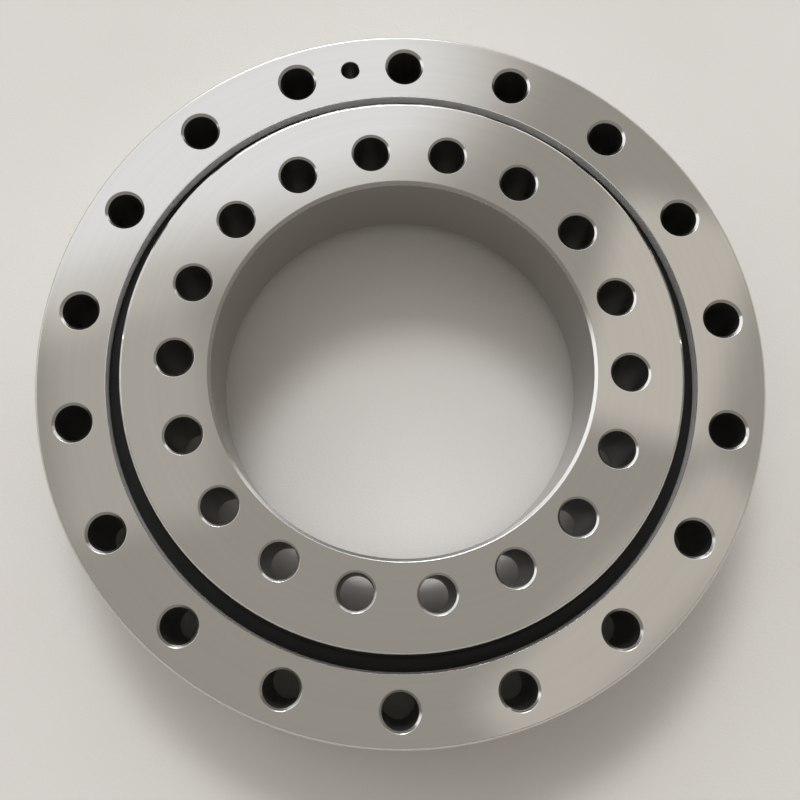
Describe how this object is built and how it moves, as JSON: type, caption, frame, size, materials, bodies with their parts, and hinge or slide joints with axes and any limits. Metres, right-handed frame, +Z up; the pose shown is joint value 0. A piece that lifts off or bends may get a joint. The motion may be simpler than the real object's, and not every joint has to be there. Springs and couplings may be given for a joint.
{
  "type": "slewing ring bearing",
  "caption": "Flat slewing ring bearing: two thick bolted steel rings turn on one row of balls, with rubber seals between them, to carry a turntable or swivel.",
  "frame": {"origin": "on the axis of rotation, at the outer ring's underside, which the bearing stands on", "axes": "+Z up along the axis of rotation, towards the raised inner ring; +Y through a bolt hole of the outer ring"},
  "size_m": [0.33, 0.33, 0.06],
  "materials": {
    "ring_steel": "fine ground and lightly oiled",
    "ball_steel": "polished",
    "pin_steel": "ground",
    "dark_screw_steel": "black oxide",
    "seal_rubber": "moulded, thin film of grease",
    "spacer_nylon": "moulded, natural"
  },
  "bodies": {
    "outer_ring_body": {"outer_ring": "ring_steel", "lower_seal": "seal_rubber", "filling_plug": "ring_steel", "plug_pin": "pin_steel", "grease_port_screw_1": "dark_screw_steel", "grease_port_screw_2": "dark_screw_steel"},
    "inner_ring_body": {"inner_ring": "ring_steel", "upper_seal": "seal_rubber"},
    "ball_train": {"ball_spacers": "spacer_nylon"},
    "ball_01_body": {"ball_01": "ball_steel"},
    "ball_02_body": {"ball_02": "ball_steel"},
    "ball_03_body": {"ball_03": "ball_steel"},
    "ball_04_body": {"ball_04": "ball_steel"},
    "ball_05_body": {"ball_05": "ball_steel"},
    "ball_06_body": {"ball_06": "ball_steel"},
    "ball_07_body": {"ball_07": "ball_steel"},
    "ball_08_body": {"ball_08": "ball_steel"},
    "ball_09_body": {"ball_09": "ball_steel"},
    "ball_10_body": {"ball_10": "ball_steel"},
    "ball_11_body": {"ball_11": "ball_steel"},
    "ball_12_body": {"ball_12": "ball_steel"},
    "ball_13_body": {"ball_13": "ball_steel"},
    "ball_14_body": {"ball_14": "ball_steel"},
    "ball_15_body": {"ball_15": "ball_steel"},
    "ball_16_body": {"ball_16": "ball_steel"},
    "ball_17_body": {"ball_17": "ball_steel"},
    "ball_18_body": {"ball_18": "ball_steel"},
    "ball_19_body": {"ball_19": "ball_steel"},
    "ball_20_body": {"ball_20": "ball_steel"},
    "ball_21_body": {"ball_21": "ball_steel"},
    "ball_22_body": {"ball_22": "ball_steel"},
    "ball_23_body": {"ball_23": "ball_steel"},
    "ball_24_body": {"ball_24": "ball_steel"},
    "ball_25_body": {"ball_25": "ball_steel"},
    "ball_26_body": {"ball_26": "ball_steel"},
    "ball_27_body": {"ball_27": "ball_steel"},
    "ball_28_body": {"ball_28": "ball_steel"},
    "ball_29_body": {"ball_29": "ball_steel"},
    "ball_30_body": {"ball_30": "ball_steel"},
    "ball_31_body": {"ball_31": "ball_steel"},
    "ball_32_body": {"ball_32": "ball_steel"},
    "ball_33_body": {"ball_33": "ball_steel"},
    "ball_34_body": {"ball_34": "ball_steel"}
  },
  "joints": [
    {"name": "inner_ring_rotation", "type": "hinge", "parent": "outer_ring_body", "child": "inner_ring_body", "pos_m": [0, 0, 0.03], "axis": [0, 0, 1], "continuous": true},
    {"name": "ball_train_orbit", "type": "hinge", "parent": "outer_ring_body", "child": "ball_train", "pos_m": [0, 0, 0.03], "axis": [0, 0, 1], "continuous": true},
    {"name": "ball_01_roll", "type": "hinge", "parent": "ball_train", "child": "ball_01_body", "pos_m": [0.125, 0, 0.03], "axis": [0.7071, 0, 0.7071], "continuous": true},
    {"name": "ball_02_roll", "type": "hinge", "parent": "ball_train", "child": "ball_02_body", "pos_m": [0.12287, 0.02297, 0.03], "axis": [0.6951, 0.1299, 0.7071], "continuous": true},
    {"name": "ball_03_roll", "type": "hinge", "parent": "ball_train", "child": "ball_03_body", "pos_m": [0.11656, 0.04516, 0.03], "axis": [0.6594, 0.2554, 0.7071], "continuous": true},
    {"name": "ball_04_roll", "type": "hinge", "parent": "ball_train", "child": "ball_04_body", "pos_m": [0.10628, 0.0658, 0.03], "axis": [0.6012, 0.3722, 0.7071], "continuous": true},
    {"name": "ball_05_roll", "type": "hinge", "parent": "ball_train", "child": "ball_05_body", "pos_m": [0.09238, 0.08421, 0.03], "axis": [0.5226, 0.4764, 0.7071], "continuous": true},
    {"name": "ball_06_roll", "type": "hinge", "parent": "ball_train", "child": "ball_06_body", "pos_m": [0.07533, 0.09975, 0.03], "axis": [0.4261, 0.5643, 0.7071], "continuous": true},
    {"name": "ball_07_roll", "type": "hinge", "parent": "ball_train", "child": "ball_07_body", "pos_m": [0.05572, 0.11189, 0.03], "axis": [0.3152, 0.633, 0.7071], "continuous": true},
    {"name": "ball_08_roll", "type": "hinge", "parent": "ball_train", "child": "ball_08_body", "pos_m": [0.03421, 0.12023, 0.03], "axis": [0.1935, 0.6801, 0.7071], "continuous": true},
    {"name": "ball_09_roll", "type": "hinge", "parent": "ball_train", "child": "ball_09_body", "pos_m": [0.01153, 0.12447, 0.03], "axis": [0.0652, 0.7041, 0.7071], "continuous": true},
    {"name": "ball_10_roll", "type": "hinge", "parent": "ball_train", "child": "ball_10_body", "pos_m": [-0.01153, 0.12447, 0.03], "axis": [-0.0652, 0.7041, 0.7071], "continuous": true},
    {"name": "ball_11_roll", "type": "hinge", "parent": "ball_train", "child": "ball_11_body", "pos_m": [-0.03421, 0.12023, 0.03], "axis": [-0.1935, 0.6801, 0.7071], "continuous": true},
    {"name": "ball_12_roll", "type": "hinge", "parent": "ball_train", "child": "ball_12_body", "pos_m": [-0.05572, 0.11189, 0.03], "axis": [-0.3152, 0.633, 0.7071], "continuous": true},
    {"name": "ball_13_roll", "type": "hinge", "parent": "ball_train", "child": "ball_13_body", "pos_m": [-0.07533, 0.09975, 0.03], "axis": [-0.4261, 0.5643, 0.7071], "continuous": true},
    {"name": "ball_14_roll", "type": "hinge", "parent": "ball_train", "child": "ball_14_body", "pos_m": [-0.09238, 0.08421, 0.03], "axis": [-0.5226, 0.4764, 0.7071], "continuous": true},
    {"name": "ball_15_roll", "type": "hinge", "parent": "ball_train", "child": "ball_15_body", "pos_m": [-0.10628, 0.0658, 0.03], "axis": [-0.6012, 0.3722, 0.7071], "continuous": true},
    {"name": "ball_16_roll", "type": "hinge", "parent": "ball_train", "child": "ball_16_body", "pos_m": [-0.11656, 0.04516, 0.03], "axis": [-0.6594, 0.2554, 0.7071], "continuous": true},
    {"name": "ball_17_roll", "type": "hinge", "parent": "ball_train", "child": "ball_17_body", "pos_m": [-0.12287, 0.02297, 0.03], "axis": [-0.6951, 0.1299, 0.7071], "continuous": true},
    {"name": "ball_18_roll", "type": "hinge", "parent": "ball_train", "child": "ball_18_body", "pos_m": [-0.125, 0, 0.03], "axis": [-0.7071, 0, 0.7071], "continuous": true},
    {"name": "ball_19_roll", "type": "hinge", "parent": "ball_train", "child": "ball_19_body", "pos_m": [-0.12287, -0.02297, 0.03], "axis": [-0.6951, -0.1299, 0.7071], "continuous": true},
    {"name": "ball_20_roll", "type": "hinge", "parent": "ball_train", "child": "ball_20_body", "pos_m": [-0.11656, -0.04516, 0.03], "axis": [-0.6594, -0.2554, 0.7071], "continuous": true},
    {"name": "ball_21_roll", "type": "hinge", "parent": "ball_train", "child": "ball_21_body", "pos_m": [-0.10628, -0.0658, 0.03], "axis": [-0.6012, -0.3722, 0.7071], "continuous": true},
    {"name": "ball_22_roll", "type": "hinge", "parent": "ball_train", "child": "ball_22_body", "pos_m": [-0.09238, -0.08421, 0.03], "axis": [-0.5226, -0.4764, 0.7071], "continuous": true},
    {"name": "ball_23_roll", "type": "hinge", "parent": "ball_train", "child": "ball_23_body", "pos_m": [-0.07533, -0.09975, 0.03], "axis": [-0.4261, -0.5643, 0.7071], "continuous": true},
    {"name": "ball_24_roll", "type": "hinge", "parent": "ball_train", "child": "ball_24_body", "pos_m": [-0.05572, -0.11189, 0.03], "axis": [-0.3152, -0.633, 0.7071], "continuous": true},
    {"name": "ball_25_roll", "type": "hinge", "parent": "ball_train", "child": "ball_25_body", "pos_m": [-0.03421, -0.12023, 0.03], "axis": [-0.1935, -0.6801, 0.7071], "continuous": true},
    {"name": "ball_26_roll", "type": "hinge", "parent": "ball_train", "child": "ball_26_body", "pos_m": [-0.01153, -0.12447, 0.03], "axis": [-0.0652, -0.7041, 0.7071], "continuous": true},
    {"name": "ball_27_roll", "type": "hinge", "parent": "ball_train", "child": "ball_27_body", "pos_m": [0.01153, -0.12447, 0.03], "axis": [0.0652, -0.7041, 0.7071], "continuous": true},
    {"name": "ball_28_roll", "type": "hinge", "parent": "ball_train", "child": "ball_28_body", "pos_m": [0.03421, -0.12023, 0.03], "axis": [0.1935, -0.6801, 0.7071], "continuous": true},
    {"name": "ball_29_roll", "type": "hinge", "parent": "ball_train", "child": "ball_29_body", "pos_m": [0.05572, -0.11189, 0.03], "axis": [0.3152, -0.633, 0.7071], "continuous": true},
    {"name": "ball_30_roll", "type": "hinge", "parent": "ball_train", "child": "ball_30_body", "pos_m": [0.07533, -0.09975, 0.03], "axis": [0.4261, -0.5643, 0.7071], "continuous": true},
    {"name": "ball_31_roll", "type": "hinge", "parent": "ball_train", "child": "ball_31_body", "pos_m": [0.09238, -0.08421, 0.03], "axis": [0.5226, -0.4764, 0.7071], "continuous": true},
    {"name": "ball_32_roll", "type": "hinge", "parent": "ball_train", "child": "ball_32_body", "pos_m": [0.10628, -0.0658, 0.03], "axis": [0.6012, -0.3722, 0.7071], "continuous": true},
    {"name": "ball_33_roll", "type": "hinge", "parent": "ball_train", "child": "ball_33_body", "pos_m": [0.11656, -0.04516, 0.03], "axis": [0.6594, -0.2554, 0.7071], "continuous": true},
    {"name": "ball_34_roll", "type": "hinge", "parent": "ball_train", "child": "ball_34_body", "pos_m": [0.12287, -0.02297, 0.03], "axis": [0.6951, -0.1299, 0.7071], "continuous": true}
  ],
  "couplings": [
    {"joint": "ball_train_orbit", "follows": "inner_ring_rotation", "ratio": 0.47172},
    {"joint": "ball_01_roll", "follows": "inner_ring_rotation", "ratio": -6.23},
    {"joint": "ball_02_roll", "follows": "inner_ring_rotation", "ratio": -6.23},
    {"joint": "ball_03_roll", "follows": "inner_ring_rotation", "ratio": -6.23},
    {"joint": "ball_04_roll", "follows": "inner_ring_rotation", "ratio": -6.23},
    {"joint": "ball_05_roll", "follows": "inner_ring_rotation", "ratio": -6.23},
    {"joint": "ball_06_roll", "follows": "inner_ring_rotation", "ratio": -6.23},
    {"joint": "ball_07_roll", "follows": "inner_ring_rotation", "ratio": -6.23},
    {"joint": "ball_08_roll", "follows": "inner_ring_rotation", "ratio": -6.23},
    {"joint": "ball_09_roll", "follows": "inner_ring_rotation", "ratio": -6.23},
    {"joint": "ball_10_roll", "follows": "inner_ring_rotation", "ratio": -6.23},
    {"joint": "ball_11_roll", "follows": "inner_ring_rotation", "ratio": -6.23},
    {"joint": "ball_12_roll", "follows": "inner_ring_rotation", "ratio": -6.23},
    {"joint": "ball_13_roll", "follows": "inner_ring_rotation", "ratio": -6.23},
    {"joint": "ball_14_roll", "follows": "inner_ring_rotation", "ratio": -6.23},
    {"joint": "ball_15_roll", "follows": "inner_ring_rotation", "ratio": -6.23},
    {"joint": "ball_16_roll", "follows": "inner_ring_rotation", "ratio": -6.23},
    {"joint": "ball_17_roll", "follows": "inner_ring_rotation", "ratio": -6.23},
    {"joint": "ball_18_roll", "follows": "inner_ring_rotation", "ratio": -6.23},
    {"joint": "ball_19_roll", "follows": "inner_ring_rotation", "ratio": -6.23},
    {"joint": "ball_20_roll", "follows": "inner_ring_rotation", "ratio": -6.23},
    {"joint": "ball_21_roll", "follows": "inner_ring_rotation", "ratio": -6.23},
    {"joint": "ball_22_roll", "follows": "inner_ring_rotation", "ratio": -6.23},
    {"joint": "ball_23_roll", "follows": "inner_ring_rotation", "ratio": -6.23},
    {"joint": "ball_24_roll", "follows": "inner_ring_rotation", "ratio": -6.23},
    {"joint": "ball_25_roll", "follows": "inner_ring_rotation", "ratio": -6.23},
    {"joint": "ball_26_roll", "follows": "inner_ring_rotation", "ratio": -6.23},
    {"joint": "ball_27_roll", "follows": "inner_ring_rotation", "ratio": -6.23},
    {"joint": "ball_28_roll", "follows": "inner_ring_rotation", "ratio": -6.23},
    {"joint": "ball_29_roll", "follows": "inner_ring_rotation", "ratio": -6.23},
    {"joint": "ball_30_roll", "follows": "inner_ring_rotation", "ratio": -6.23},
    {"joint": "ball_31_roll", "follows": "inner_ring_rotation", "ratio": -6.23},
    {"joint": "ball_32_roll", "follows": "inner_ring_rotation", "ratio": -6.23},
    {"joint": "ball_33_roll", "follows": "inner_ring_rotation", "ratio": -6.23},
    {"joint": "ball_34_roll", "follows": "inner_ring_rotation", "ratio": -6.23}
  ]
}
